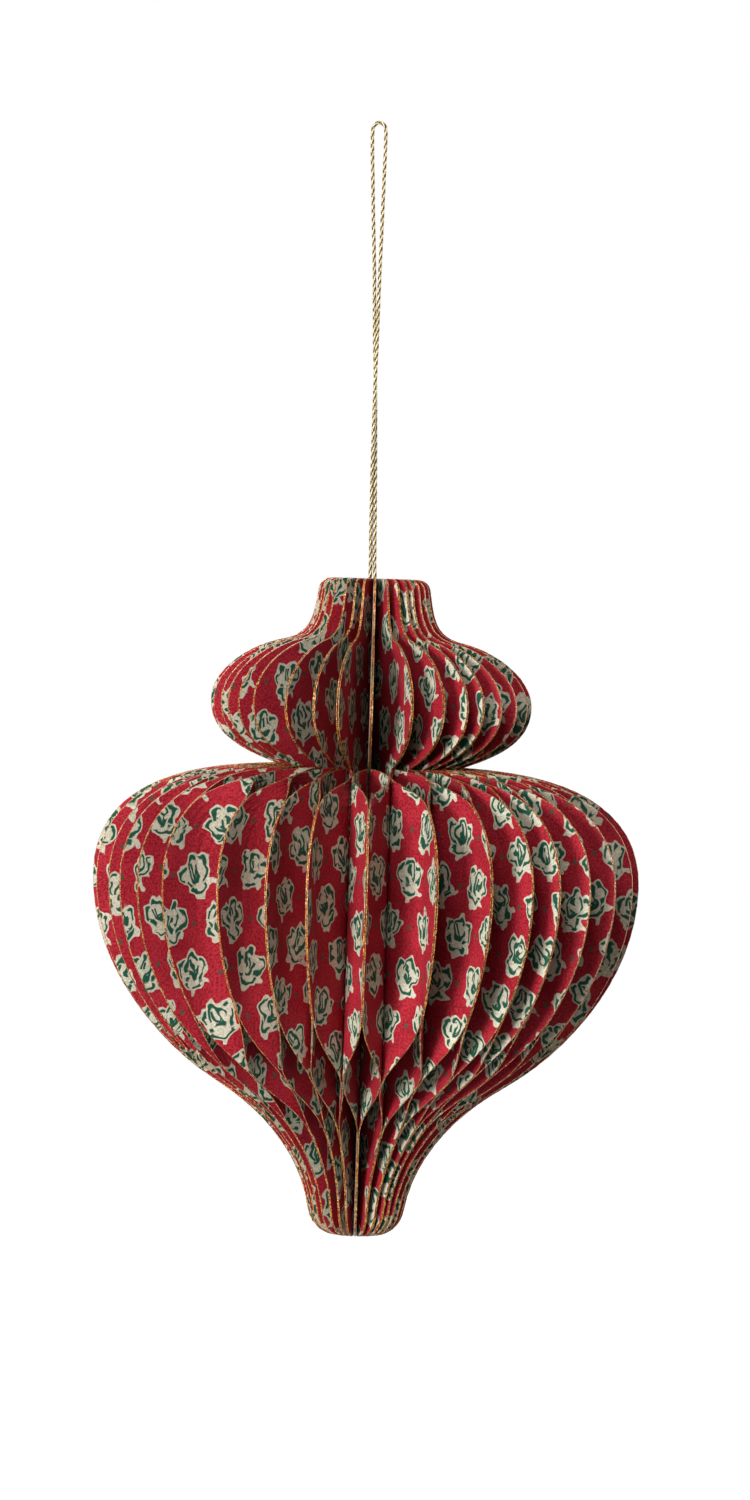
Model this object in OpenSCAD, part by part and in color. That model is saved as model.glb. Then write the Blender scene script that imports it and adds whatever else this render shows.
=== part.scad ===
// Honeycomb paper finial on a loop of twisted cord.
// Equal die-cut leaves stand on edge round a hollow spine. Lines of paste bond each leaf to one
// neighbour, then to the other, so the opened stack swells into cells like a honeycomb.
// The origin is the inside of the loop's bend, where the ornament hangs. Z points up.

/* [Leaves] */
// Number of leaves, bonded two and two
leaf_count = 72; // [60:2:84]
// Thickness of the printed card
card_t = 0.25; // [0.2:0.01:0.3]
// Thickness of the film of paste between bonded leaves
paste_t = 0.03; // [0.02:0.005:0.04]
// Radius of the innermost line of paste
glue_r = 19.5; // [17:0.5:20]
// Distance from one line of paste to the next
glue_step = 17.8; // [15:0.1:19]
// Width of a line of paste
glue_w = 2.5; // [2:0.5:4]
// How far each loose edge of a pair stands off its middle in the upper bulb
gape = 0.45; // [0.2:0.05:0.8]

/* [Collar and upper bulb] */
// Radius of the collar
collar_r = 13; // [11.5:0.5:14]
// Radius of the collar's rounded top corner
collar_corner = 2.8; // [1.5:0.1:4]
// Height of the collar, down to where its flare runs into the bulb
collar_h = 14.5; // [12:0.5:18]
// Radius at the end of the collar's flare
flare_r = 21; // [19:0.5:23]
// Widest radius of the upper bulb
bulb_r = 37.3; // [32:0.1:44]
// Height of the bulb above its widest place
bulb_top_h = 14.5; // [11:0.5:18]
// Height of the bulb below its widest place
bulb_low_h = 14.6; // [11:0.1:18]
// Radius of the sharp waist between the bulbs
waist_r = 21; // [20:0.5:24]

/* [Belly and foot] */
// Widest radius of the belly
belly_r = 63.5; // [58:0.5:70]
// Height of the belly above its widest place
shoulder_h = 26.4; // [22:0.2:32]
// Height from the widest place down to where the belly turns inward to the taper
belly_h = 47.5; // [40:0.5:54]
// Radius where the belly turns inward to the taper
taper_r = 33.5; // [30:0.5:37]
// Height of the taper
taper_h = 29.5; // [25:0.5:36]
// Radius of the foot
foot_r = 11.2; // [9.6:0.2:14]
// Height of the foot's rounded end
foot_h = 5.9; // [4:0.1:8]
// Radius of the flat under the foot
foot_flat_r = 5; // [4:0.2:7]

/* [Hanging cord] */
// Diameter of one strand of the cord
cord_d = 0.85; // [0.6:0.05:0.9]

/* [Hidden] */
// The loop's bend stands this far above the collar, and the spine this far beside it
collar_top = -105.5;
spine_offset = 2.2;

// Even spacing of the pairs, in degrees
pair_count = leaf_count / 2;
pitch = 360 / pair_count;

// How far each pair leans round the spine from its even place, in shares of the even spacing and
// counted from the front. Card that is opened by hand never spreads quite evenly.
pair_lean = [
    0.02, 0.45, 0.63, 0.61, 0.34, 0.3, 0.35, 0.5, 0.6, 0.45, 0.2, 0.05,
    -0.1, -0.22, -0.14, 0.06, 0.24, 0.16, -0.04, -0.26, -0.34, -0.12, 0.18, 0.36,
    0.22, -0.08, 0.04, 0.16, 0.25, 0.26, -0.15, -0.41, -0.58, -0.12, -0.03, -0.17];

// Distance of a leaf's middle from its bonded face's plane
bond_y = (card_t + paste_t) / 2;
// The leaves are packed solid at this radius, which leaves the core of the spine open
spine_r = bond_y / tan(pitch / 4);

// Depths of the outline's stations
bulb_z = collar_top - collar_h - bulb_top_h;
waist_z = bulb_z - bulb_low_h;
belly_z = waist_z - shoulder_h;
taper_z = belly_z - belly_h;
foot_z = taper_z - taper_h;
bottom_z = foot_z - foot_h;

// Slopes at which the outline passes from the flare to the bulb and from the belly to the taper
flare_slope = 0.2;
taper_slope = 0.625;
// Share of a rounded corner's radius that its handles reach, as on a quarter circle
corner_handle = 0.55;

// Steps along each curve of the outline, and along each bend of a leaf
outline_steps = 12;
small_steps = 6;
bend_steps = 8;
lean_steps = 4;
// Reach of a bend's handles, as a share of its length
bend_handle = 0.42;
// Lengths past the outline to which the flat stock is cut before it is shaped
stock = 2;

function two_digits(k) = k < 10 ? str("0", k) : str(k);
function pair_name(k) = str("leaf_pair_", two_digits(k));

// A point at share t of the cubic curve with the handles b and c
function on_curve(a, b, c, d, t) =
    pow(1 - t, 3) * a + 3 * t * pow(1 - t, 2) * b + 3 * t * t * (1 - t) * c + pow(t, 3) * d;
// The curve's points, without its first one
function curve(a, b, c, d, steps) = [for (i = [1:steps]) on_curve(a, b, c, d, i / steps)];

// Outline from the top of the spine to the waist, as radius and height.
// Each curve's handles reach a share of its own width and height.
function upper_outline() =
    let (corner_r = collar_r - collar_corner)
    let (corner_z = collar_top - collar_corner)
    let (flare_z = collar_top - collar_h)
    let (flare_w = flare_r - collar_r)
    let (crown_w = bulb_r - flare_r)
    let (under_w = bulb_r - waist_r)
    concat(
        [[0, collar_top], [corner_r, collar_top]],
        curve([corner_r, collar_top], [corner_r + corner_handle * collar_corner, collar_top],
            [collar_r, corner_z + corner_handle * collar_corner], [collar_r, corner_z], small_steps),
        curve([collar_r, corner_z], [collar_r + 0.12 * flare_w, corner_z - 0.55 * (corner_z - flare_z)],
            [flare_r - 0.8 * flare_w, flare_z + 0.8 * flare_slope * flare_w], [flare_r, flare_z],
            outline_steps),
        curve([flare_r, flare_z], [flare_r + 0.4 * crown_w, flare_z - 0.4 * flare_slope * crown_w],
            [bulb_r, bulb_z + 0.52 * bulb_top_h], [bulb_r, bulb_z], outline_steps),
        curve([bulb_r, bulb_z], [bulb_r, bulb_z - 0.55 * bulb_low_h],
            [waist_r + 0.54 * under_w, waist_z + 0.21 * bulb_low_h], [waist_r, waist_z], outline_steps),
        [[0, waist_z]]);

// Outline from the waist to the bottom of the spine
function lower_outline() =
    let (shoulder_w = belly_r - waist_r)
    let (belly_w = belly_r - taper_r)
    let (taper_w = taper_r - foot_r)
    let (sole_w = foot_r - foot_flat_r)
    concat(
        [[0, waist_z], [waist_r, waist_z]],
        curve([waist_r, waist_z], [waist_r + 0.59 * shoulder_w, waist_z - 0.015 * shoulder_h],
            [belly_r, belly_z + 0.72 * shoulder_h], [belly_r, belly_z], outline_steps),
        curve([belly_r, belly_z], [belly_r, belly_z - 0.39 * belly_h],
            [taper_r + 0.6 * belly_w, taper_z + 0.6 * taper_slope * belly_w], [taper_r, taper_z],
            outline_steps),
        curve([taper_r, taper_z], [taper_r - 0.5 * taper_w, taper_z - 0.5 * taper_slope * taper_w],
            [foot_r + 0.09 * taper_w, foot_z + 0.42 * taper_h], [foot_r, foot_z], outline_steps),
        curve([foot_r, foot_z], [foot_r - 0.06 * sole_w, foot_z - 0.47 * foot_h],
            [foot_flat_r + 0.58 * sole_w, bottom_z], [foot_flat_r, bottom_z], small_steps),
        [[0, bottom_z]]);

// Lean of pair k, and half the angle from it to the next pair, counted on round the ring
function lean_of(k) = pitch * pair_lean[(k - 1 + pair_count) % pair_count % len(pair_lean)];
function half_gap(k) = (pitch + lean_of(k + 1) - lean_of(k)) / 2;

// A point of the plane midway between two pairs, for the leaf that is bonded there
function on_far_bond(r, half) = [r * cos(half) + bond_y * sin(half), r * sin(half) - bond_y * cos(half)];

// The bend of a leaf between the ends of two bonds, which it leaves along their planes
function bend(a, a_angle, b, b_angle, steps) =
    let (reach = bend_handle * norm(b - a))
    curve(a, a + reach * [cos(a_angle), sin(a_angle)],
        b - reach * [cos(b_angle), sin(b_angle)], b, steps);

// Middle line of a leaf seen from above, with the pair's own bond on the X axis.
// It leaves the spine at the pair's even place and leans over to the first line of paste.
function spine_line(lean) =
    let (start = [spine_r * cos(lean) + bond_y * sin(lean), bond_y * cos(lean) - spine_r * sin(lean)])
    concat(
        [start],
        bend(start, -lean, [glue_r - glue_w / 2, bond_y], 0, lean_steps),
        [[glue_r + glue_w / 2, bond_y]]);

// In the belly it goes on over to its other neighbour, half a gap away, and back to its partner
function belly_line(lean, half) =
    let (near_end = [glue_r + glue_w / 2, bond_y])
    let (far_r = glue_r + glue_step)
    let (far_start = on_far_bond(far_r - glue_w / 2, half))
    let (far_end = on_far_bond(far_r + glue_w / 2, half))
    let (rim_start = [far_r + glue_step - glue_w / 2, bond_y])
    concat(
        spine_line(lean),
        bend(near_end, 0, far_start, half, bend_steps),
        [far_end],
        bend(far_end, half, rim_start, 0, bend_steps),
        [[max(belly_r, rim_start[0]) + stock, bond_y]]);

// In the upper bulb it stays beside its partner, a little apart at the rim
function bulb_line(lean) =
    let (near_end = [glue_r + glue_w / 2, bond_y])
    let (loose = [(near_end[0] + bulb_r) / 2, bond_y + gape])
    concat(
        spine_line(lean),
        bend(near_end, 0, loose, 0, bend_steps),
        [[bulb_r + stock, bond_y + gape]]);

// Unit vector square to a line at its point i
function across(line, i) =
    let (along = line[min(i + 1, len(line) - 1)] - line[max(i - 1, 0)])
    [-along[1], along[0]] / norm(along);

// Section of the card along a line
module card_section(line) {
    last = len(line) - 1;
    polygon(concat(
        [for (i = [0:last]) line[i] + card_t / 2 * across(line, i)],
        [for (i = [last:-1:0]) line[i] - card_t / 2 * across(line, i)]));
}

// Card bent along a line and cut to an outline between two heights
module cut_card(line, outline, low, high) {
    width = 2 * (max([for (p = line) p[1]]) + stock);
    intersection() {
        translate([0, 0, low - stock])
            linear_extrude(high - low + 2 * stock)
                card_section(line);
        rotate([90, 0, 0])
            linear_extrude(width, center = true)
                polygon(outline);
    }
}

// One die-cut leaf: collar and upper bulb above the waist, belly and foot below it
module leaf(lean, half) {
    cut_card(bulb_line(lean), upper_outline(), waist_z, collar_top);
    cut_card(belly_line(lean, half), lower_outline(), bottom_z, waist_z);
}

// Two leaves bonded face to face, counted round from the front
module leaf_pair(k) {
    color("#a81e2d")
        translate([spine_offset, 0, 0])
            rotate([0, 0, -90 + pitch * (k - 1) + lean_of(k)]) {
                leaf(lean_of(k), half_gap(k));
                mirror([0, 1, 0])
                    leaf(-lean_of(k), half_gap(k - 1));
            }
}

// Route of the doubled cord: up from one end in the core, over the bend and down to the other.
// The strands lie side by side at the collar, make half a turn about each other and part above.
cord_route = [
    [-0.5, 0, -126], [-0.5, 0, -120], [-0.1, 0, -114], [0.8, 0, -108.5], [1.05, 0, -103],
    [0.9, -0.1, -95], [0.8, -0.2, -86], [0.75, -0.35, -76], [0.8, -0.45, -66], [0.85, -0.5, -58],
    [1, -0.35, -50], [1.05, -0.15, -42], [1.15, 0, -33], [1.3, 0, -23], [1.45, 0, -13],
    [1.55, 0, -5], [1.55, 0, -2], [1.4, 0, -0.7], [0.8, 0, 0.2],
    [0, 0, 0.45],
    [-0.8, 0, 0.2], [-1.4, 0, -0.7], [-1.55, 0, -2], [-1.5, 0, -5], [-1.15, 0, -13],
    [-0.7, 0, -23], [-0.2, 0, -33], [0.1, 0.15, -42], [0.4, 0.35, -50], [0.8, 0.5, -58],
    [1.1, 0.45, -66], [1.4, 0.35, -76], [1.65, 0.2, -86], [1.85, 0.1, -95], [2.05, 0, -103],
    [2.6, 0, -108.5], [4.2, 0, -114], [4.9, 0, -120], [4.9, 0, -126]];
cord_sides = 8;
rings_per_point = 2;

// A point of the smooth line through the route, at share t of its stretch i
function on_route(i, t) =
    let (last = len(cord_route) - 1)
    let (a = cord_route[max(i - 1, 0)])
    let (b = cord_route[i])
    let (c = cord_route[min(i + 1, last)])
    let (d = cord_route[min(i + 2, last)])
    b + t / 2 * ((c - a) + t * (2 * a - 5 * b + 4 * c - d) + t * t * (3 * b - a - 3 * c + d));

// Ring centres along the cord, and one ring square to its run, which stays near the XZ plane
function cord_line() =
    concat([for (i = [0:len(cord_route) - 2], j = [0:rings_per_point - 1]) on_route(i, j / rings_per_point)],
        [cord_route[len(cord_route) - 1]]);
function cord_ring(line, i) =
    let (along = line[min(i + 1, len(line) - 1)] - line[max(i - 1, 0)])
    let (side = cross([0, 1, 0], along) / norm(cross([0, 1, 0], along)))
    let (back = cross(along, side) / norm(along))
    [for (s = [0:cord_sides - 1])
        line[i] + cord_d / 2 * (cos(360 * s / cord_sides) * side + sin(360 * s / cord_sides) * back)];

module hanging_cord() {
    line = cord_line();
    last = len(line) - 1;
    points = [for (i = [0:last]) each cord_ring(line, i)];
    walls = [for (i = [0:last - 1], s = [0:cord_sides - 1])
        let (next = (s + 1) % cord_sides)
        [i * cord_sides + s, i * cord_sides + next, (i + 1) * cord_sides + next, (i + 1) * cord_sides + s]];
    ends = [
        [for (s = [cord_sides - 1:-1:0]) s],
        [for (s = [0:cord_sides - 1]) last * cord_sides + s]];
    color("#c9a95c")
        polyhedron(points, concat(walls, ends));
}

for (k = [1:pair_count])
    leaf_pair(k);
hanging_cord();
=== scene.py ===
import math
import random

import bpy
from mathutils import Matrix, Vector
from mathutils.geometry import interpolate_bezier


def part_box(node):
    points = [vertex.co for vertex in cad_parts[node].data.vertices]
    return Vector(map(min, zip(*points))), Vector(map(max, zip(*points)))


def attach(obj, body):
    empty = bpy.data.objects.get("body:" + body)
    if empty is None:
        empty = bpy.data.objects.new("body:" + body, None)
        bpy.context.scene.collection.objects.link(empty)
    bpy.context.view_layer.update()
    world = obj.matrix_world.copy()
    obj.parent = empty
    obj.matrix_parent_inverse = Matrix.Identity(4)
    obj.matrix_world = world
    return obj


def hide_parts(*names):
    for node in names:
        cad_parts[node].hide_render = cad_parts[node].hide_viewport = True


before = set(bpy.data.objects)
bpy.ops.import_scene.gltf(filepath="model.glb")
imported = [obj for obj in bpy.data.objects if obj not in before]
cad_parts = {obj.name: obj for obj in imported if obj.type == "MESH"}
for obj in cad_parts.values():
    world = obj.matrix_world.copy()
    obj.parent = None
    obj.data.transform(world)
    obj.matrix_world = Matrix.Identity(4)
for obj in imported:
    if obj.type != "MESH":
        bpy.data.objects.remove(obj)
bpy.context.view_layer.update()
print("Frame loaded")

# The ornament hangs from its loop, so heights run downward. The spine is a little to the right.
# Sizes of the cord, the leaves, the print and the glitter are in millimetres, angles in radians.
mm = 0.001
spineX = 2.2 * mm
leafLow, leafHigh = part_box("leaf_pair_01")
topZ, bottomZ = leafHigh.z, leafLow.z
pairCount = len([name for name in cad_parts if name.startswith("leaf_pair_")])
pitch = math.tau / pairCount


# Node helpers

def pickSocket(sockets, key):
    if isinstance(key, int):
        return sockets[key]
    return next(socket for socket in sockets if socket.name == key and socket.enabled)


class Value:
    # A node's output that takes part in Python sums, each of which adds a Math node
    def __init__(self, graph, socket):
        self.graph = graph
        self.socket = socket

    def __add__(self, other):
        return self.graph.maths("ADD", self, other)

    def __radd__(self, other):
        return self.graph.maths("ADD", other, self)

    def __sub__(self, other):
        return self.graph.maths("SUBTRACT", self, other)

    def __rsub__(self, other):
        return self.graph.maths("SUBTRACT", other, self)

    def __mul__(self, other):
        return self.graph.maths("MULTIPLY", self, other)

    def __rmul__(self, other):
        return self.graph.maths("MULTIPLY", other, self)

    def __truediv__(self, other):
        return self.graph.maths("DIVIDE", self, other)

    def __pow__(self, other):
        return self.graph.maths("POWER", self, other)

    def __mod__(self, other):
        return self.graph.maths("FLOORED_MODULO", self, other)

    def __lt__(self, other):
        return self.graph.maths("LESS_THAN", self, other)

    def __gt__(self, other):
        return self.graph.maths("GREATER_THAN", self, other)


class Graph:
    # Adds nodes to one tree: settings first, then the values or links of its sockets
    def __init__(self, tree):
        self.tree = tree

    def node(self, kind, settings=None, sockets=None):
        made = self.tree.nodes.new(kind)
        for name, setting in (settings or {}).items():
            if name == "stops":
                self.fillRamp(made.color_ramp, setting)
            else:
                setattr(made, name, setting)
        for name, value in (sockets or {}).items():
            socket = pickSocket(made.inputs, name)
            if isinstance(value, Value):
                self.tree.links.new(value.socket, socket)
            else:
                socket.default_value = value
        return made

    def read(self, kind, settings=None, sockets=None, output=0):
        made = self.node(kind, settings, sockets)
        return Value(self, pickSocket(made.outputs, output))

    def fillRamp(self, ramp, stops):
        while len(ramp.elements) < len(stops):
            ramp.elements.new(0.5)  # placed below
        for element, (place, tone) in zip(ramp.elements, stops):
            element.position = place
            element.color = tone

    def maths(self, operation, *terms):
        return self.read("ShaderNodeMath", {"operation": operation}, dict(enumerate(terms)))

    # Keeps a value between 0 and 1
    def clamp(self, value):
        return self.read("ShaderNodeClamp", None, {"Value": value})

    # Goes smoothly from 0 to 1 as the value goes from low to high
    def rise(self, value, low, high):
        return self.read("ShaderNodeMapRange", {"interpolation_type": "SMOOTHSTEP"},
                         {"Value": value, "From Min": low, "From Max": high}, "Result")

    def vector(self, x, y, z=0.0):
        return self.read("ShaderNodeCombineXYZ", None, {"X": x, "Y": y, "Z": z})

    def parts(self, vector):
        made = self.node("ShaderNodeSeparateXYZ", None, {"Vector": vector})
        return [Value(self, socket) for socket in made.outputs]

    def vectorMaths(self, operation, *terms, output="Vector"):
        return self.read("ShaderNodeVectorMath", {"operation": operation},
                         dict(enumerate(terms)), output)

    def blend(self, factor, a, b):
        return self.read("ShaderNodeMix", {"data_type": "RGBA"},
                         {"Factor": factor, "A": a, "B": b}, "Result")

    def noise(self, place, scale, detail, dimensions="3D", output="Fac"):
        return self.read("ShaderNodeTexNoise", {"noise_dimensions": dimensions},
                         {"Vector": place, "Scale": scale, "Detail": detail}, output)

    def bump(self, height, strength, depth):
        return self.read("ShaderNodeBump", None,
                         {"Strength": strength, "Distance": depth * mm, "Height": height})

    # Stores a value on the geometry by name, for later nodes or for the material
    def keep(self, geometry, name, value, kind="FLOAT", domain="POINT"):
        return self.read("GeometryNodeStoreNamedAttribute", {"data_type": kind, "domain": domain},
                         {"Geometry": geometry, "Name": name, "Value": value})

    def kept(self, name, kind="FLOAT"):
        return self.read("GeometryNodeInputNamedAttribute", {"data_type": kind}, {"Name": name})

    def join(self, geometries):
        made = self.node("GeometryNodeJoinGeometry")
        for geometry in geometries:
            self.tree.links.new(geometry.socket, made.inputs[0])
        return Value(self, made.outputs[0])


def newGeometryTree(name, inputs):
    tree = bpy.data.node_groups.new(name, "GeometryNodeTree")
    for label, kind in inputs:
        tree.interface.new_socket(label, in_out="INPUT", socket_type="NodeSocket" + kind)
    tree.interface.new_socket("Geometry", in_out="OUTPUT", socket_type="NodeSocketGeometry")
    graph = Graph(tree)
    entry = graph.node("NodeGroupInput")
    return graph, {label: Value(graph, pickSocket(entry.outputs, label)) for label, kind in inputs}


# Sets the modifier's inputs by identifier, evaluates it and gives the plain mesh
def bakeTree(holder, tree, values):
    modifier = holder.modifiers.new("shape", "NODES")
    modifier.node_group = tree
    for item in tree.interface.items_tree:
        if item.in_out == "INPUT" and item.name in values:
            modifier[item.identifier] = values[item.name]
    view = bpy.context.evaluated_depsgraph_get()
    mesh = bpy.data.meshes.new_from_object(
        holder.evaluated_get(view), preserve_all_data_layers=True, depsgraph=view)
    holder.modifiers.remove(modifier)
    return mesh


def showMesh(name, mesh):
    piece = bpy.data.objects.new(name, mesh)
    mesh.name = name
    bpy.context.scene.collection.objects.link(piece)
    return piece


# An object whose mesh is one line through the points
def showLine(name, points):
    mesh = bpy.data.meshes.new(name)
    mesh.from_pydata(points, [(i, i + 1) for i in range(len(points) - 1)], [])
    return showMesh(name, mesh)


# Colours are written as the eye sees them, 0 to 255, and pass through the usual sRGB curve
def colour(red, green, blue):
    def linear(level):
        share = level / 255
        return share / 12.92 if share <= 0.04045 else ((share + 0.055) / 1.055) ** 2.4
    return (linear(red), linear(green), linear(blue), 1.0)


def newMaterial(name):
    material = bpy.data.materials.new(name)
    material.use_nodes = True
    material.node_tree.nodes.clear()
    return material, Graph(material.node_tree)


def closeMaterial(graph, sockets):
    shader = graph.read("ShaderNodeBsdfPrincipled", None, sockets)
    graph.node("ShaderNodeOutputMaterial", None, {"Surface": shader})


# Camera: places in metres, the lens and the sensor in millimetres, the roll in degrees

cameraView = {
    "distance": 1.165,
    "height": -0.1155,
    "aimRight": 0.0012,
    "aimHeight": -0.1453,
    "lens": 80.0,
    "sensorHeight": 24.0,
    "roll": 1.764,
    "nearest": 0.01,
}


def turnTowards(thing, target):
    return (target - thing.location).to_track_quat("-Z", "Y")


def addCamera(values):
    data = bpy.data.cameras.new("camera")
    data.sensor_fit = "VERTICAL"
    data.sensor_height = values["sensorHeight"]
    data.lens = values["lens"]
    data.clip_start = values["nearest"]
    camera = bpy.data.objects.new("camera", data)
    bpy.context.scene.collection.objects.link(camera)
    aim = Vector((spineX + values["aimRight"], 0, values["aimHeight"]))
    camera.location = (aim.x, -values["distance"], values["height"])
    roll = Matrix.Rotation(math.radians(values["roll"]), 4, "Z")
    camera.rotation_euler = (turnTowards(camera, aim).to_matrix().to_4x4() @ roll).to_euler()
    bpy.context.scene.camera = camera


addCamera(cameraView)
print("Camera set")


# Hanging cord: one length of three-ply thread, doubled, its ends in the hollow spine.
# Its route is the solid's own.

cordRoute = [
    (-0.5, 0, -126), (-0.5, 0, -120), (-0.1, 0, -114), (0.8, 0, -108.5), (1.05, 0, -103),
    (0.9, -0.1, -95), (0.8, -0.2, -86), (0.75, -0.35, -76), (0.8, -0.45, -66), (0.85, -0.5, -58),
    (1, -0.35, -50), (1.05, -0.15, -42), (1.15, 0, -33), (1.3, 0, -23), (1.45, 0, -13),
    (1.55, 0, -5), (1.55, 0, -2), (1.4, 0, -0.7), (0.8, 0, 0.2),
    (0, 0, 0.45),
    (-0.8, 0, 0.2), (-1.4, 0, -0.7), (-1.55, 0, -2), (-1.5, 0, -5), (-1.15, 0, -13),
    (-0.7, 0, -23), (-0.2, 0, -33), (0.1, 0.15, -42), (0.4, 0.35, -50), (0.8, 0.5, -58),
    (1.1, 0.45, -66), (1.4, 0.35, -76), (1.65, 0.2, -86), (1.85, 0.1, -95), (2.05, 0, -103),
    (2.6, 0, -108.5), (4.2, 0, -114), (4.9, 0, -120), (4.9, 0, -126)]

cordValues = {
    "diameter": 0.85,
    "fullness": 1.14,  # makes up for the grooves between the plies
    "plies": 3,
    "lay": 5.7,
    "plyDepth": 0.14,
    "stepsPerPoint": 6,
    "step": 0.22,
    "facets": 18,
    "exitRight": 1.3,  # where the seen cord enters the collar
    "cream": colour(213, 201, 169),
    "gold": colour(169, 146, 96),
    # Painted shade: this dark colour lies in the grooves between the plies, where shade falls
    "paintedGrooveShade": colour(33, 23, 9),
    "paintedGrooveShadeFrom": -0.75,  # of the lobes' cosine, 1 on a ply's back
    "paintedGrooveShadeTo": 0.5,
    "fleckScale": 2600.0,  # flecks in a metre
    "fleckDetail": 2.0,
    "fleckFrom": 0.42,
    "fleckTo": 0.62,
    "bumpStrength": 0.35,
    "bumpDepth": 0.1,
    "metallic": 0.3,
    "roughness": 0.45,
}


# A smooth line through the route, as in the solid
def smoothRoute(points, steps):
    line = []
    last = len(points) - 1
    for i in range(last):
        a, b, c, d = (Vector(points[k]) for k in (max(i - 1, 0), i, i + 1, min(i + 2, last)))
        for j in range(steps):
            t = j / steps
            bend = 2 * a - 5 * b + 4 * c - d
            turn = 3 * b - a - 3 * c + d
            line.append(b + t / 2 * ((c - a) + t * bend + t * t * turn))
    line.append(Vector(points[last]))
    return [point * mm for point in line]


def cordTree():
    graph, given = newGeometryTree("twistedCord", [
        ("Geometry", "Geometry"), ("Diameter", "Float"), ("Lay", "Float"), ("Plies", "Int"),
        ("Ply Depth", "Float"), ("Step", "Float"), ("Facets", "Int"), ("Material", "Material")])
    line = graph.read("GeometryNodeMeshToCurve", None, {"Mesh": given["Geometry"]})
    line = graph.read("GeometryNodeResampleCurve", {"mode": "LENGTH"},
                      {"Curve": line, "Length": given["Step"]})
    run = graph.read("GeometryNodeSplineParameter", None, None, "Length")
    line = graph.read("GeometryNodeSetCurveTilt", None,
                      {"Curve": line, "Tilt": run * math.tau / given["Lay"]})
    # The thread's section: as many lobes as it has plies
    ring = graph.read("GeometryNodeCurvePrimitiveCircle", None,
                      {"Resolution": given["Facets"], "Radius": given["Diameter"] / 2}, "Curve")
    place = graph.read("GeometryNodeInputPosition")
    x, y = graph.parts(place)[:2]
    lobe = graph.maths("COSINE", graph.maths("ARCTAN2", y, x) * given["Plies"])
    ring = graph.keep(ring, "lobe", lobe)
    depth = 1 - given["Ply Depth"] * (1 - lobe)
    place = graph.vectorMaths("MULTIPLY", place, graph.vector(depth, depth, depth))
    ring = graph.read("GeometryNodeSetPosition", None, {"Geometry": ring, "Position": place})
    tube = graph.read("GeometryNodeCurveToMesh", None,
                      {"Curve": line, "Profile Curve": ring, "Fill Caps": True})
    tube = graph.read("GeometryNodeSetShadeSmooth", None, {"Geometry": tube})
    tube = graph.read("GeometryNodeRealizeInstances", None, {"Geometry": tube})
    tube = graph.read("GeometryNodeSetMaterial", None,
                      {"Geometry": tube, "Material": given["Material"]})
    graph.node("NodeGroupOutput", None, {"Geometry": tube})
    return graph.tree


def metallicThread(values):
    material, graph = newMaterial("metallicThread")
    lobe = graph.read("ShaderNodeAttribute", {"attribute_name": "lobe"}, None, "Fac")
    place = graph.read("ShaderNodeTexCoord", None, None, "Object")
    flecks = graph.noise(place, values["fleckScale"], values["fleckDetail"])
    thread = graph.blend(graph.rise(flecks, values["fleckFrom"], values["fleckTo"]),
                         values["gold"], values["cream"])
    # Painted shade: the thread goes dark towards the grooves between its plies
    tone = graph.blend(graph.rise(lobe, values["paintedGrooveShadeFrom"], values["paintedGrooveShadeTo"]),
                       values["paintedGrooveShade"], thread)
    closeMaterial(graph, {
        "Base Color": tone, "Metallic": values["metallic"], "Roughness": values["roughness"],
        "Normal": graph.bump(flecks, values["bumpStrength"], values["bumpDepth"])})
    return material


def addCord(values):
    line = smoothRoute(cordRoute, values["stepsPerPoint"])
    holder = showLine("cordPath", line)
    mesh = bakeTree(holder, cordTree(), {
        "Diameter": values["diameter"] * values["fullness"] * mm, "Lay": values["lay"] * mm,
        "Plies": values["plies"], "Ply Depth": values["plyDepth"], "Step": values["step"] * mm,
        "Facets": values["facets"], "Material": metallicThread(values)})
    bpy.data.objects.remove(holder)
    piece = showMesh("hangingThread", mesh)
    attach(piece, "root")
    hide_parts("hanging_cord")
    length = sum((b - a).length for a, b in zip(line, line[1:]))
    exitPoint = (values["exitRight"] * mm, 0, topZ)
    values["diameter"] * mm
    return piece


cordPiece = addCord(cordValues)
print("Cord made,", len(cordPiece.data.polygons), "faces")


# Die-cut leaves. The outline's sizes are the solids' own.

leafShape = {
    "cardThickness": 0.25,
    "pasteThickness": 0.03,
    "bondRadius": 19.5,
    "bondStep": 17.8,
    "bondWidth": 2.5,
    "bulbGape": 0.06,
    "bulbGapeShares": (0.4, 1.3),  # the least and the most of it that a pair gets
    "rimGape": 0.1,
    "rimGapeShares": (0.0, 1.5),
    "columns": 22,
    "columnCrowding": 0.85,  # under 1 the columns crowd towards the rim
    "leanFull": 0.84,  # of the bond radius, from where a pair leans in full
    "waistMargin": 0.05,
    "mergeDistance": 0.002,
    "sharpAngle": 0.7,
    "printShift": 500.0,  # each face is cut from another place of the printed sheet
    "seed": 11,
    "collarRadius": 13.0,
    "collarCorner": 2.8,
    "collarHeight": 14.5,
    "flareRadius": 21.0,
    "bulbRadius": 37.3,
    "bulbTopHeight": 14.5,
    "bulbLowHeight": 14.6,
    "waistRadius": 21.0,
    "bellyRadius": 63.5,
    "shoulderHeight": 26.4,
    "bellyHeight": 47.5,
    "taperRadius": 33.5,
    "taperHeight": 29.5,
    "footRadius": 11.2,
    "footFlatRadius": 5.0,
    "flareSlope": -0.2,  # height for each millimetre outward
    "taperSlope": 0.625,
}

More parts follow.
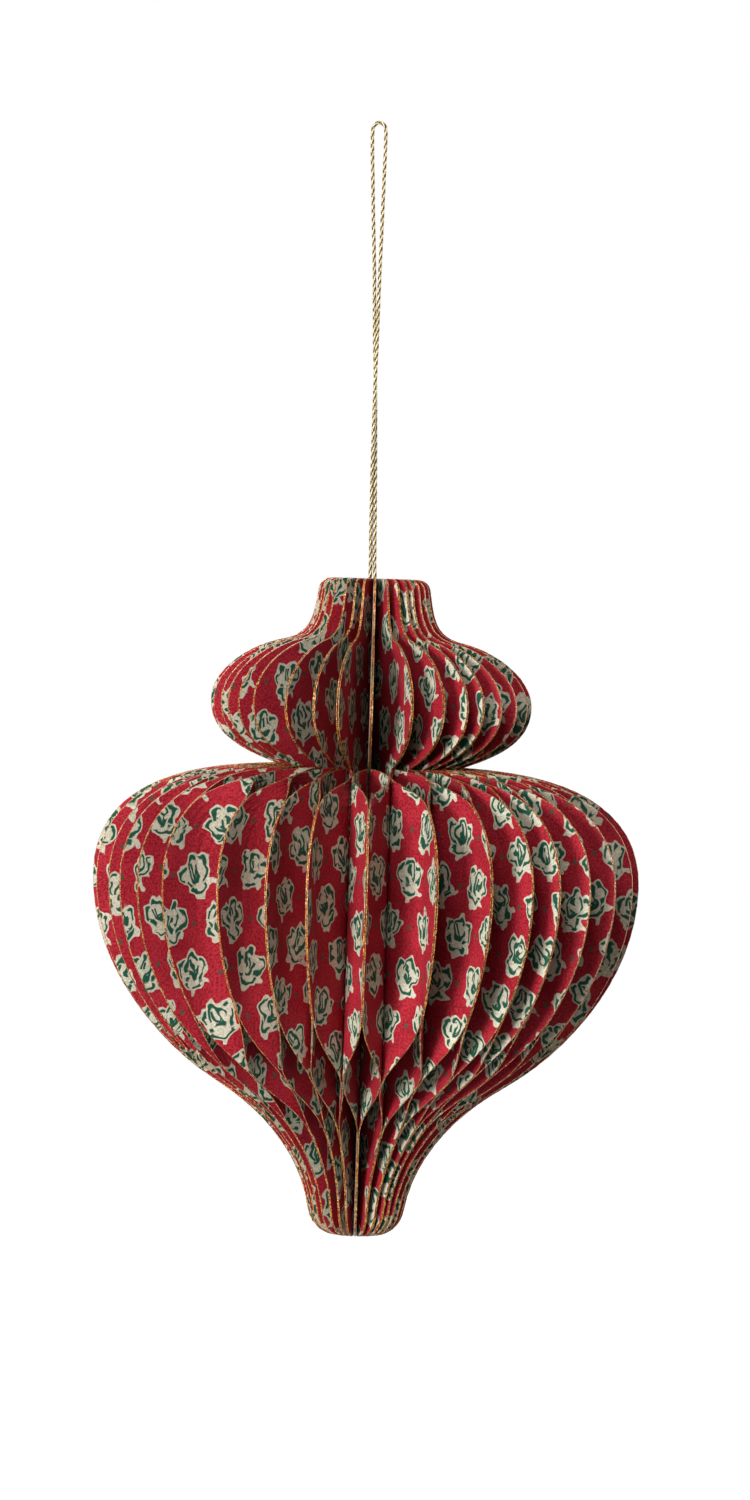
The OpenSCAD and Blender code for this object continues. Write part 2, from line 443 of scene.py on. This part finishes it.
# The cutting line's curves from the top down. Each leaves its start and reaches its end by a
# handle: shares of the curve's width and height, or a share of its width along a slope.
dieCurves = {
    "corner": {"leave": (0.55, 0.0), "reach": (0.0, 0.55), "steps": 5},
    "collar": {"leave": (0.12, 0.55), "reach": (0.8, "flareSlope"), "steps": 12},
    "crown": {"leave": (0.4, "flareSlope"), "reach": (0.0, 0.52), "steps": 12},
    "bulb": {"leave": (0.0, 0.55), "reach": (0.54, 0.21), "steps": 12},
    "shoulder": {"leave": (0.59, 0.015), "reach": (0.0, 0.72), "steps": 16},
    "belly": {"leave": (0.0, 0.39), "reach": (0.6, "taperSlope"), "steps": 14},
    "taper": {"leave": (0.5, "taperSlope"), "reach": (0.09, 0.42), "steps": 11},
    "foot": {"leave": (0.06, 0.47), "reach": (0.58, 0.0), "steps": 5},
}

# How far each pair leans round the spine from its even place, in shares of the even spacing and
# counted from the front, as in the solids
pairLean = [
    0.02, 0.45, 0.63, 0.61, 0.34, 0.3, 0.35, 0.5, 0.6, 0.45, 0.2, 0.05,
    -0.1, -0.22, -0.14, 0.06, 0.24, 0.16, -0.04, -0.26, -0.34, -0.12, 0.18, 0.36,
    0.22, -0.08, 0.04, 0.16, 0.25, 0.26, -0.15, -0.41, -0.58, -0.12, -0.03, -0.17]


# The die's cutting line from the collar's top to the sole, in metres, and the waist's height
def cuttingLine(shape, curves):
    top = topZ / mm
    knots = [(shape["collarRadius"] - shape["collarCorner"], top),
             (shape["collarRadius"], top - shape["collarCorner"]),
             (shape["flareRadius"], top - shape["collarHeight"])]
    for radius, height in (("bulbRadius", "bulbTopHeight"), ("waistRadius", "bulbLowHeight"),
                           ("bellyRadius", "shoulderHeight"), ("taperRadius", "bellyHeight"),
                           ("footRadius", "taperHeight")):
        knots.append((shape[radius], knots[-1][1] - shape[height]))
    knots.append((shape["footFlatRadius"], bottomZ / mm))

    # Where down is a name, it is that slope's
    def handle(start, goal, across, down):
        outward = across * (goal[0] - start[0])
        upward = shape[down] * outward if down in shape else down * (goal[1] - start[1])
        return start[0] + outward, start[1] + upward

    def place(point):
        return Vector((point[0], 0, point[1]))

    line = [place(knots[0])]
    for start, end, curve in zip(knots, knots[1:], curves.values()):
        leave = handle(start, end, *curve["leave"])
        reach = handle(end, start, *curve["reach"])
        stretch = (place(point) for point in (start, leave, reach, end))
        line += interpolate_bezier(*stretch, curve["steps"] + 1)[1:]
    waistZ = knots[4][1]  # after the two at the collar's corner, the flare and the bulb
    return [point * mm for point in line], waistZ * mm


leafInputs = [
    ("Outline", "Geometry"), ("Columns", "Int"), ("Waist Height", "Float"), ("Spine X", "Float"),
    ("Spine Radius", "Float"), ("Card Thickness", "Float"), ("Bond Offset", "Float"),
    ("Bond Radius", "Float"), ("Bond Step", "Float"), ("Bond Width", "Float"),
    ("Bulb Radius", "Float"), ("Bulb Gape", "Float"), ("Rim Gape", "Float"),
    ("Pair Angle", "Float"), ("Lean", "Float"), ("Print Shift", "Vector"),
    ("Grain Size", "Float"), ("Glitter Depth", "Float"), ("Glitter Width", "Float"),
    ("Seed", "Int")]


# Distance of a leaf's middle from its pair's plane, at a distance x from the spine
def sectionOf(graph, given, x, height, shape):
    bond, halfAngle = given["Bond Offset"], given["Half Angle"]
    half = given["Bond Width"] / 2
    cosine, sine = graph.maths("COSINE", halfAngle), graph.maths("SINE", halfAngle)
    slope = sine / cosine
    nearEnd = given["Bond Radius"] + half
    farRadius = given["Bond Radius"] + given["Bond Step"]
    farStartX = (farRadius - half) * cosine + bond * sine
    farStartY = (farRadius - half) * sine - bond * cosine
    farEndX = (farRadius + half) * cosine + bond * sine
    farEndY = (farRadius + half) * sine - bond * cosine
    rimStart = farRadius + given["Bond Step"] - half
    # A bend goes from one bond to the next, level with the near bond and at the far one's slope
    out = graph.clamp((x - nearEnd) / (farStartX - nearEnd))
    swing = (farStartY - bond) * out * out * (3 - 2 * out)
    swing += (farStartX - nearEnd) * slope * out * out * (out - 1)
    along = (farEndY - farStartY) * graph.clamp((x - farStartX) / (farEndX - farStartX))
    back = graph.clamp((x - farEndX) / (rimStart - farEndX))
    left = 1 - back
    fall = (bond - farEndY) * back * back * (3 - 2 * back)
    fall += (rimStart - farEndX) * slope * back * left * left
    loose = graph.clamp((x - rimStart - given["Bond Width"]) / (given["Bond Step"] / 2))
    belly = bond + swing + along + fall + given["Rim Gape"] * loose * loose
    parting = graph.rise(x, nearEnd, (nearEnd + given["Bulb Radius"]) / 2)
    bulb = bond + given["Bulb Gape"] * parting
    inBelly = height < given["Waist Height"] + shape["waistMargin"] * mm
    return bulb + (belly - bulb) * inBelly


# Where the faces lie on the map for baking, in metres. The sheets of a pair lie side by side, three
# upright and one across the top, and the glitter's strips stand to their right.
bakeSheet = {
    "side": 0.219,
    "margin": 0.0005,
    "pitch": 0.0645,
    "upright": 3,
    "topRow": 0.154,
    "firstSheets": {1: 0, -1: 2},  # by the leaf's side
    "strips": {1: 0.1985, -1: 0.2065},
    "stripSide": 0.0015,
    "stripLength": 0.215,
    "stripStart": 0.0011,
}


def storeMap(graph, geometry, name, u, v):
    return graph.keep(geometry, name, graph.vector(u, v), "FLOAT2", "CORNER")


def bakePlace(sheetNumber, x, height):
    rise = (height - bottomZ + bakeSheet["margin"]) / bakeSheet["side"]
    if sheetNumber < bakeSheet["upright"]:
        across = x + (sheetNumber * bakeSheet["pitch"] + bakeSheet["margin"])
        return across / bakeSheet["side"], rise
    return rise, (x + bakeSheet["topRow"]) / bakeSheet["side"]


# The leaf's middle surface, cut to its outline and bent
def bentSheet(graph, given, side, shape):
    rows = graph.read("GeometryNodeAttributeDomainSize", {"component": "MESH"},
                      {"Geometry": given["Outline"]}, "Point Count")
    grid = graph.read("GeometryNodeMeshGrid", None, {
        "Size X": 1.0, "Size Y": 1.0, "Vertices X": given["Columns"], "Vertices Y": rows}, "Mesh")
    here = graph.read("GeometryNodeInputPosition")
    across, up = (part + 0.5 for part in graph.parts(here)[:2])  # the grid's middle is at 0
    row = graph.maths("FLOOR", up * (rows - 1) + 0.5)
    cut = graph.read("GeometryNodeSampleIndex", {"data_type": "FLOAT_VECTOR", "domain": "POINT"},
                     {"Geometry": given["Outline"], "Value": here, "Index": row})
    cutParts = graph.parts(cut)
    cutRadius, height = cutParts[0], cutParts[2]
    share = graph.clamp(across) ** shape["columnCrowding"]
    x = given["Spine Radius"] + (cutRadius - given["Spine Radius"]) * share
    y = sectionOf(graph, given, x, height, shape)
    # Round the spine the pair leans more and more, in full from just inside the first bond
    radius = graph.maths("SQRT", x * x + y * y)
    lean = given["Lean"] * graph.rise(radius, given["Spine Radius"],
                                      given["Bond Radius"] * shape["leanFull"])
    turn = graph.maths("ARCTAN2", side * y, x) + given["Pair Angle"] + lean
    place = graph.vector(given["Spine X"] + radius * graph.maths("COSINE", turn),
                         radius * graph.maths("SINE", turn), height)
    # Distance from the spine is kept for the print, and the share for finding the cut edges
    grid = graph.keep(graph.keep(grid, "reach", x), "share", share)
    return graph.read("GeometryNodeSetPosition", None, {"Geometry": grid, "Position": place})


# The card itself: two printed faces and the cut edge between them
def cardSolid(graph, given, side, sheet, shape):
    reach = graph.kept("reach")
    height = graph.parts(graph.read("GeometryNodeInputPosition"))[2]
    shifts = graph.parts(given["Print Shift"])
    firstSheet = bakeSheet["firstSheets"][side]
    back = graph.read("ShaderNodeVectorMath", {"operation": "SCALE"}, {
        0: graph.read("GeometryNodeInputNormal"), "Scale": given["Card Thickness"] * -0.5})
    inner = graph.read("GeometryNodeSetPosition", None, {"Geometry": sheet, "Offset": back})
    front = storeMap(graph, inner, "printMap", reach + shifts[0], height + shifts[1])
    front = storeMap(graph, front, "OFBake", *bakePlace(firstSheet, reach, height))
    front = graph.read("GeometryNodeExtrudeMesh", {"mode": "FACES"}, {
        "Mesh": front, "Offset Scale": given["Card Thickness"], "Individual": False}, "Mesh")
    rear = storeMap(graph, inner, "printMap", shifts[2] - reach, height - shifts[0])
    rear = storeMap(graph, rear, "OFBake", *bakePlace(firstSheet + 1, reach, height))
    rear = graph.read("GeometryNodeFlipFaces", None, {"Mesh": rear})
    card = graph.read("GeometryNodeMergeByDistance", None, {
        "Geometry": graph.join((front, rear)), "Distance": shape["mergeDistance"] * mm})
    corner = graph.read("GeometryNodeInputMeshEdgeAngle", None, None, "Unsigned Angle")
    return graph.read("GeometryNodeSetShadeSmooth", {"domain": "EDGE"}, {
        "Geometry": card, "Selection": corner > shape["sharpAngle"], "Shade Smooth": False})


goldGlitter = {
    # Lit and shaded copies of the gold: the bright flakes are a painted glint and the dark ones
    # painted shade
    "paintedGlintFlake": colour(236, 184, 84),
    "gold": colour(170, 98, 26),
    "paintedShadeFlake": colour(58, 26, 8),
    "paintedShadeFlakeTo": 0.32,  # the share of grains painted dark, as shade
    "goldFrom": 0.46,
    "goldTo": 0.74,
    "paintedGlintFlakeFrom": 0.9,
    "flakeScale": 4000.0,  # flakes in a metre
    "facetScale": 2600.0,
    "facetDetail": 1.0,
    "bumpStrength": 1.0,
    "bumpDepth": 0.2,
    "metallic": 0.3,
    "roughness": 0.3,
    "roughnessSpread": 0.3,
    "grainSize": 0.6,
    "depth": 0.16,
    "width": 0.72,  # of the card's thickness
    "fromSpine": 0.0005,  # none nearer the spine than this share of the leaf's width
    "stray": 0.03,
    "swell": (0.8, 1.15),
    "seedStep": 20,
    "leftSeed": 7,
}


# Glitter clings to the cut edges in a rough strip, turned with the card's face
def glitterStrip(graph, given, side, sheet, glitter):
    faced = graph.keep(sheet, "facing", graph.read("GeometryNodeInputNormal"), "FLOAT_VECTOR")
    neighbours = graph.read("GeometryNodeInputMeshEdgeNeighbors", None, None, "Face Count")
    rim = (neighbours < 2) * (graph.kept("share") > glitter["fromSpine"])
    edge = graph.read("GeometryNodeMeshToCurve", None, {"Mesh": faced, "Selection": rim})
    edge = graph.read("GeometryNodeResampleCurve", {"mode": "LENGTH"},
                      {"Curve": edge, "Length": given["Grain Size"]})
    edge = graph.read("GeometryNodeSetCurveNormal", {"mode": "FREE"},
                      {"Curve": edge, "Normal": graph.kept("facing", "FLOAT_VECTOR")})
    stray, (least, most) = glitter["stray"] * mm, glitter["swell"]
    jitter = graph.read("FunctionNodeRandomValue", {"data_type": "FLOAT_VECTOR"}, {
        "Min": (-stray, -stray, -stray), "Max": (stray, stray, stray), "Seed": given["Seed"]})
    edge = graph.read("GeometryNodeSetPosition", None, {"Geometry": edge, "Offset": jitter})
    swell = graph.read("FunctionNodeRandomValue", {"data_type": "FLOAT"},
                       {"Min": least, "Max": most, "Seed": given["Seed"] + 1}, "Value")
    run = graph.read("GeometryNodeSplineParameter", None, None, "Factor")
    index = graph.read("GeometryNodeInputIndex")
    section = graph.read("GeometryNodeCurvePrimitiveQuadrilateral", None, {
        "Width": given["Card Thickness"] * given["Glitter Width"],
        "Height": given["Glitter Depth"]}, "Curve")
    strip = graph.read("GeometryNodeCurveToMesh", None, {
        "Curve": graph.keep(edge, "run", run), "Scale": swell, "Fill Caps": True,
        "Profile Curve": graph.keep(section, "corner", index)})
    # Its four faces lie side by side on the map for baking
    strip = graph.keep(strip, "stripFace", index % 4, "FLOAT", "FACE")
    stripFace = graph.kept("stripFace")
    across = stripFace + (graph.kept("corner") - stripFace) % 4
    u = (bakeSheet["strips"][side] + across * bakeSheet["stripSide"]) / bakeSheet["side"]
    v = (bakeSheet["stripStart"] + graph.kept("run") * bakeSheet["stripLength"]) / bakeSheet["side"]
    strip = storeMap(graph, strip, "OFBake", u, v)
    strip = graph.keep(strip, "glitter", True, "BOOLEAN", "FACE")
    return graph.read("GeometryNodeSetShadeSmooth", {"domain": "FACE"},
                      {"Geometry": strip, "Shade Smooth": False})


def leafTree(side, shape, glitter):
    graph, given = newGeometryTree("leafRight" if side > 0 else "leafLeft",
                                   leafInputs + [("Half Angle", "Float")])
    sheet = bentSheet(graph, given, side, shape)
    card = cardSolid(graph, given, side, sheet, shape)
    strip = glitterStrip(graph, given, side, sheet, glitter)
    graph.node("NodeGroupOutput", None, {"Geometry": graph.join((card, strip))})
    return graph.tree


def pairTree(shape, glitter):
    leaves = {side: leafTree(side, shape, glitter) for side in (1, -1)}
    graph, given = newGeometryTree("leafPair", leafInputs + [
        ("Half Angle Right", "Float"), ("Half Angle Left", "Float"),
        ("Print Shift Left", "Vector"), ("Card", "Material"), ("Glitter", "Material")])
    shared = {label: given[label] for label, kind in leafInputs}
    right = {**shared, "Half Angle": given["Half Angle Right"]}
    left = {**shared, "Half Angle": given["Half Angle Left"],
            "Print Shift": given["Print Shift Left"],
            "Seed": given["Seed"] + glitter["leftSeed"]}
    pair = graph.join([graph.read("GeometryNodeGroup", {"node_tree": leaves[side]}, sockets)
                       for side, sockets in ((1, right), (-1, left))])
    pair = graph.read("GeometryNodeRealizeInstances", None, {"Geometry": pair})
    pair = graph.read("GeometryNodeSetMaterial", None,
                      {"Geometry": pair, "Material": given["Card"]})
    pair = graph.read("GeometryNodeSetMaterial", None, {
        "Geometry": pair, "Selection": graph.kept("glitter", "BOOLEAN"),
        "Material": given["Glitter"]})
    graph.node("NodeGroupOutput", None, {"Geometry": pair})
    return graph.tree


# Printed card: a pale tulip drawn over in green in every cell of a brick layout, each turned its
# own way, and a green dot between each two

cardPrint = {
    "crimson": colour(174, 42, 54),
    "deepCrimson": colour(126, 17, 31),
    "sage": colour(204, 199, 178),
    "greySage": colour(171, 167, 146),
    "green": colour(24, 75, 58),
    "across": 13.4,
    "row": 11.0,
    "drawingScale": 1.52,
    "leastSize": 0.96,
    "sizeSpread": 0.12,
    "turn": 1.1,
    "wander": 1.7,
    "wanderScale": 0.36,  # waves in a millimetre
    "wanderDetail": 0.6,
    "edgeBlur": 0.04,
    "stroke": 0.48,
    "strokeFrom": 0.35,  # of its width, between which a line fades out
    "strokeTo": 0.65,
    "strokeMargin": (-0.3, -0.2),  # the lines end this far inside the tulip's edge
    "breakScale": 0.5,
    "breakFrom": 0.33,
    "breakTo": 0.37,
    "dot": 0.6,
    "dotBlur": 0.12,
    "dotStrength": 0.75,
    "grainScale": 1900.0,  # grains in a metre
    "cloudScale": 140.0,
    "grainDetail": 2.0,
    "grainShare": 0.75,
    "wornFrom": 0.36,
    "wornTo": 0.64,
    "bumpStrength": 0.3,
    "bumpDepth": 0.12,
    "roughness": 0.6,
    "roughnessSpread": 0.2,
    "specular": 0.15,
}

# The tulip before it is scaled: each form is an ellipse, by its middle, its radii and its tilt
tulip = {
    "middlePetal": (0.0, 0.85, 1.35, 2.35, 0.0),
    "leftPetal": (-1.45, 0.45, 1.25, 2.05, 0.35),
    "rightPetal": (1.45, 0.45, 1.25, 2.05, -0.35),
    "cup": (0.0, -1.4, 1.95, 1.5, 0.0),
    "stalk": (0.35, -2.95, 0.5, 0.8, 0.4),
    "leaflet": (-2.0, -1.8, 0.85, 0.42, 0.6),
}

tulipLines = {
    "blend": 0.5,  # how softly the forms run together
    "petalInset": 0.42,
    "cupInset": 0.5,
    "cupTop": -1.35,
    "petalGap": 0.1,
    "veins": ((0.14, -0.4, 1.7), (-1.1, -0.2, 0.75)),  # the slant, the foot and the tip of each
}


# Signed distance from an ellipse's line in millimetres, less inside it
def ellipseLine(graph, x, y, middleX, middleY, radiusX, radiusY, tilt):
    dx, dy = x - middleX, y - middleY
    across = (dx * math.cos(tilt) + dy * math.sin(tilt)) / radiusX
    along = (dy * math.cos(tilt) - dx * math.sin(tilt)) / radiusY
    return (graph.maths("SQRT", across * across + along * along) - 1) * min(radiusX, radiusY)


# The tulip's green lines, 1 on them, at a place in its drawing: just inside the petals and the cup,
# and two veins
def tulipStrokes(graph, x, y, forms, values):
    def stroke(distance):
        return 1 - graph.rise(graph.maths("ABSOLUTE", distance),
                              values["stroke"] * values["strokeFrom"],
                              values["stroke"] * values["strokeTo"])

    drawn = stroke(forms["middlePetal"] + tulipLines["petalInset"])
    behind = forms["middlePetal"] > tulipLines["petalGap"]
    inCup = y < tulipLines["cupTop"]
    for name, inset, shown in (("leftPetal", "petalInset", behind),
                               ("rightPetal", "petalInset", behind), ("cup", "cupInset", inCup)):
        line = stroke(forms[name] + tulipLines[inset]) * shown
        drawn = graph.maths("MAXIMUM", drawn, line)
    for slant, low, high in tulipLines["veins"]:
        vein = stroke(x - slant * (y - low)) * (y > low) * (y < high)
        drawn = graph.maths("MAXIMUM", drawn, vein)
    return drawn


def printedCard(values):
    material, graph = newMaterial("printedCard")
    printMap = graph.read("ShaderNodeUVMap", {"uv_map": "printMap"})
    u, v = graph.parts(graph.vectorMaths("MULTIPLY", printMap, (1 / mm, 1 / mm, 1.0)))[:2]
    across, row = values["across"], values["row"]
    line = graph.maths("FLOOR", v / row)
    slide = u / across + line * 0.5
    cell = graph.maths("FLOOR", slide)
    chance = graph.read("ShaderNodeTexWhiteNoise", {"noise_dimensions": "2D"},
                        {"Vector": graph.vector(cell, line)}, "Color")
    turnBy, grow = graph.parts(chance)[:2]
    x = (slide - cell - 0.5) * across
    y = (v / row - line - 0.5) * row
    # Each tulip stands at its own angle, and its drawing wanders
    angle = (turnBy - 0.5) * values["turn"]
    cosine, sine = graph.maths("COSINE", angle), graph.maths("SINE", angle)
    size = values["drawingScale"] * (values["leastSize"] + grow * values["sizeSpread"])
    stray = graph.noise(graph.vector(u, v), values["wanderScale"], values["wanderDetail"],
                        "2D", "Color")
    strayX, strayY = ((part - 0.5) * values["wander"] for part in graph.parts(stray)[:2])
    bx = (x * cosine - y * sine) / size + strayX
    by = (x * sine + y * cosine) / size + strayY
    forms = {name: ellipseLine(graph, bx, by, *form) for name, form in tulip.items()}
    edge = forms["middlePetal"]
    for name in list(tulip)[1:]:
        edge = graph.maths("SMOOTH_MIN", edge, forms[name], tulipLines["blend"])
    inTulip = 1 - graph.rise(edge, -values["edgeBlur"], values["edgeBlur"])
    # The green lines have breaks
    breaks = graph.noise(graph.vector(u, v), values["breakScale"], 0.0, "2D")
    drawn = tulipStrokes(graph, bx, by, forms, values)
    drawn = drawn * graph.rise(breaks, values["breakFrom"], values["breakTo"])
    drawn = drawn * (1 - graph.rise(edge, *values["strokeMargin"]))
    # A dot halfway between neighbours in a row
    dx = graph.maths("ABSOLUTE", x) - across / 2
    dotEdge = values["dot"] * (1 - values["dotBlur"]), values["dot"] * (1 + values["dotBlur"])
    dot = 1 - graph.rise(graph.maths("SQRT", dx * dx + y * y), *dotEdge)
    green = graph.maths("MAXIMUM", drawn, dot * values["dotStrength"])
    # Fibres and grain of the card under the print
    grain = graph.noise(printMap, values["grainScale"], values["grainDetail"])
    cloud = graph.noise(printMap, values["cloudScale"], values["grainDetail"])
    worn = graph.rise(grain * values["grainShare"] + cloud * (1 - values["grainShare"]),
                      values["wornFrom"], values["wornTo"])
    ground = graph.blend(worn, values["deepCrimson"], values["crimson"])
    pale = graph.blend(worn, values["greySage"], values["sage"])
    tone = graph.blend(green, graph.blend(inTulip, ground, pale), values["green"])
    closeMaterial(graph, {
        "Base Color": tone, "Roughness": values["roughness"] + grain * values["roughnessSpread"],
        "Specular IOR Level": values["specular"],
        "Normal": graph.bump(grain, values["bumpStrength"], values["bumpDepth"])})
    return material


def glitterFinish(values):
    material, graph = newMaterial("goldGlitter")
    place = graph.read("ShaderNodeTexCoord", None, None, "Object")
    flake = graph.read("ShaderNodeTexVoronoi", None,
                       {"Vector": place, "Scale": values["flakeScale"]}, "Color")
    chance, shine = graph.parts(flake)[:2]
    # Each flake gets at random a painted shade, the gold itself or a painted glint
    tone = graph.read("ShaderNodeValToRGB", {"stops": [
        (0.0, values["paintedShadeFlake"]), (values["paintedShadeFlakeTo"], values["paintedShadeFlake"]),
        (values["goldFrom"], values["gold"]), (values["goldTo"], values["gold"]),
        (values["paintedGlintFlakeFrom"], values["paintedGlintFlake"])]}, {"Fac": chance}, "Color")
    facets = graph.noise(place, values["facetScale"], values["facetDetail"])
    closeMaterial(graph, {
        "Base Color": tone, "Metallic": values["metallic"],
        "Roughness": values["roughness"] + shine * values["roughnessSpread"],
        "Normal": graph.bump(facets, values["bumpStrength"], values["bumpDepth"])})
    return material


def addLeaves(shape, lean, glitter):
    line, waistZ = cuttingLine(shape, dieCurves)
    holder = showLine("cuttingLine", line)
    tree = pairTree(shape, glitter)
    bondOffset = (shape["cardThickness"] + shape["pasteThickness"]) / 2 * mm
    # What all pairs share
    same = {
        "Columns": shape["columns"], "Waist Height": waistZ, "Spine X": spineX,
        "Spine Radius": bondOffset / math.tan(pitch / 4), "Bond Offset": bondOffset,
        "Card Thickness": shape["cardThickness"] * mm, "Bond Radius": shape["bondRadius"] * mm,
        "Bond Step": shape["bondStep"] * mm, "Bond Width": shape["bondWidth"] * mm,
        "Bulb Radius": shape["bulbRadius"] * mm, "Grain Size": glitter["grainSize"] * mm,
        "Glitter Depth": glitter["depth"] * mm, "Glitter Width": glitter["width"],
        "Card": printedCard(cardPrint), "Glitter": glitterFinish(glitter)}
    chance = random.Random(shape["seed"])

    def shift():
        return [chance.uniform(0, shape["printShift"] * mm) for _ in range(3)]

    made = []
    for k in range(pairCount):
        ahead = pitch * (1 + lean[(k + 1) % pairCount] - lean[k])
        behind = pitch * (1 + lean[k] - lean[k - 1])
        mesh = bakeTree(holder, tree, {
            **same,
            "Bulb Gape": shape["bulbGape"] * chance.uniform(*shape["bulbGapeShares"]) * mm,
            "Rim Gape": shape["rimGape"] * chance.uniform(*shape["rimGapeShares"]) * mm,
            "Pair Angle": pitch * k - math.pi / 2, "Lean": pitch * lean[k],
            "Half Angle Right": ahead / 2, "Half Angle Left": behind / 2,
            "Print Shift": shift(), "Print Shift Left": shift(),
            "Seed": glitter["seedStep"] * k})
        piece = showMesh("leafPair%02d" % (k + 1), mesh)
        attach(piece, "root")
        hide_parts("leaf_pair_%02d" % (k + 1))
        made.append(piece)
    bpy.data.objects.remove(holder)
    return made


leafPieces = addLeaves(leafShape, pairLean, goldGlitter)
print("Leaves made,", sum(len(piece.data.polygons) for piece in leafPieces), "faces")


# Stage and light, in metres and watts

stageValues = {
    "floorDrop": 0.25,
    "floorSize": 6.0,
    "floorTone": (0.4, 0.4, 0.4, 1.0),
    "floorGlow": 0.8,
    "whiteFrom": 0.6,
    "whiteTo": 1.4,
    "skyTone": (1.0, 1.0, 1.0, 1.0),
    "skyLevel": 0.02,
}

lamps = {
    "keyLamp": {"size": 0.4, "power": 22.5, "place": (-0.7, -1.21, -0.05)},
    "topLamp": {"size": 0.4, "power": 9.0, "place": (-0.25, -1.04, 0.72)},
    "sideLamp": {"size": 1.0, "power": 18.0, "place": (1.25, 0.75, 0.1)},
    "backLamp": {"size": 1.2, "power": 18.0, "place": (-0.5, 1.3, 0.4)},
}


# 1 for rays that show the background, also in gloss, and 0 for those that light the object
def seenWhite(graph):
    rays = graph.node("ShaderNodeLightPath")
    seen = Value(graph, rays.outputs["Is Camera Ray"])
    for ray in ("Is Glossy Ray", "Is Transmission Ray"):
        seen = graph.maths("MAXIMUM", seen, Value(graph, rays.outputs[ray]))
    return seen


def paleFloor(values):
    material, graph = newMaterial("paleFloor")
    plain = graph.read("ShaderNodeBsdfDiffuse", None, {"Color": values["floorTone"]})
    # Far from the ornament's shadow the floor goes over into the white background
    place = graph.read("ShaderNodeTexCoord", None, None, "Object")
    away = graph.vectorMaths("LENGTH", place, output="Value")
    white = graph.rise(away, values["whiteFrom"], values["whiteTo"])
    level = values["floorGlow"] + (1 - values["floorGlow"]) * white
    glow = graph.read("ShaderNodeEmission", None, {"Strength": seenWhite(graph) * level})
    both = graph.read("ShaderNodeAddShader", None, {0: plain, 1: glow})
    # Clear from below, so that the ornament's underside shows in views from there
    below = graph.read("ShaderNodeNewGeometry", None, None, "Backfacing")
    clear = graph.read("ShaderNodeBsdfTransparent")
    seen = graph.read("ShaderNodeMixShader", None, {"Fac": below, 1: both, 2: clear})
    graph.node("ShaderNodeOutputMaterial", None, {"Surface": seen})
    return material


def addFloor(values):
    half = values["floorSize"] / 2
    z = bottomZ - values["floorDrop"]
    corners = [(-half, -half, z), (half, -half, z), (half, half, z), (-half, half, z)]
    mesh = bpy.data.meshes.new("floor")
    mesh.from_pydata(corners, [], [(0, 1, 2, 3)])
    mesh.materials.append(paleFloor(values))
    showMesh("floor", mesh)


def addSky(values):
    world = bpy.data.worlds.new("studio")
    bpy.context.scene.world = world
    world.use_nodes = True
    world.node_tree.nodes.clear()
    graph = Graph(world.node_tree)
    level = values["skyLevel"] + (1 - values["skyLevel"]) * seenWhite(graph)
    sky = graph.read("ShaderNodeBackground", None, {"Color": values["skyTone"], "Strength": level})
    graph.node("ShaderNodeOutputWorld", None, {"Surface": sky})


def addLamp(name, values):
    data = bpy.data.lights.new(name, "AREA")
    data.size = values["size"]
    data.energy = values["power"]
    lamp = bpy.data.objects.new(name, data)
    bpy.context.scene.collection.objects.link(lamp)
    lamp.location = values["place"]
    middle = Vector((spineX, 0, (topZ + bottomZ) / 2))
    lamp.rotation_euler = turnTowards(lamp, middle).to_euler()


addFloor(stageValues)
addSky(stageValues)
for name, values in lamps.items():
    addLamp(name, values)
bpy.context.scene.view_settings.view_transform = "Standard"
print("Stage lit")
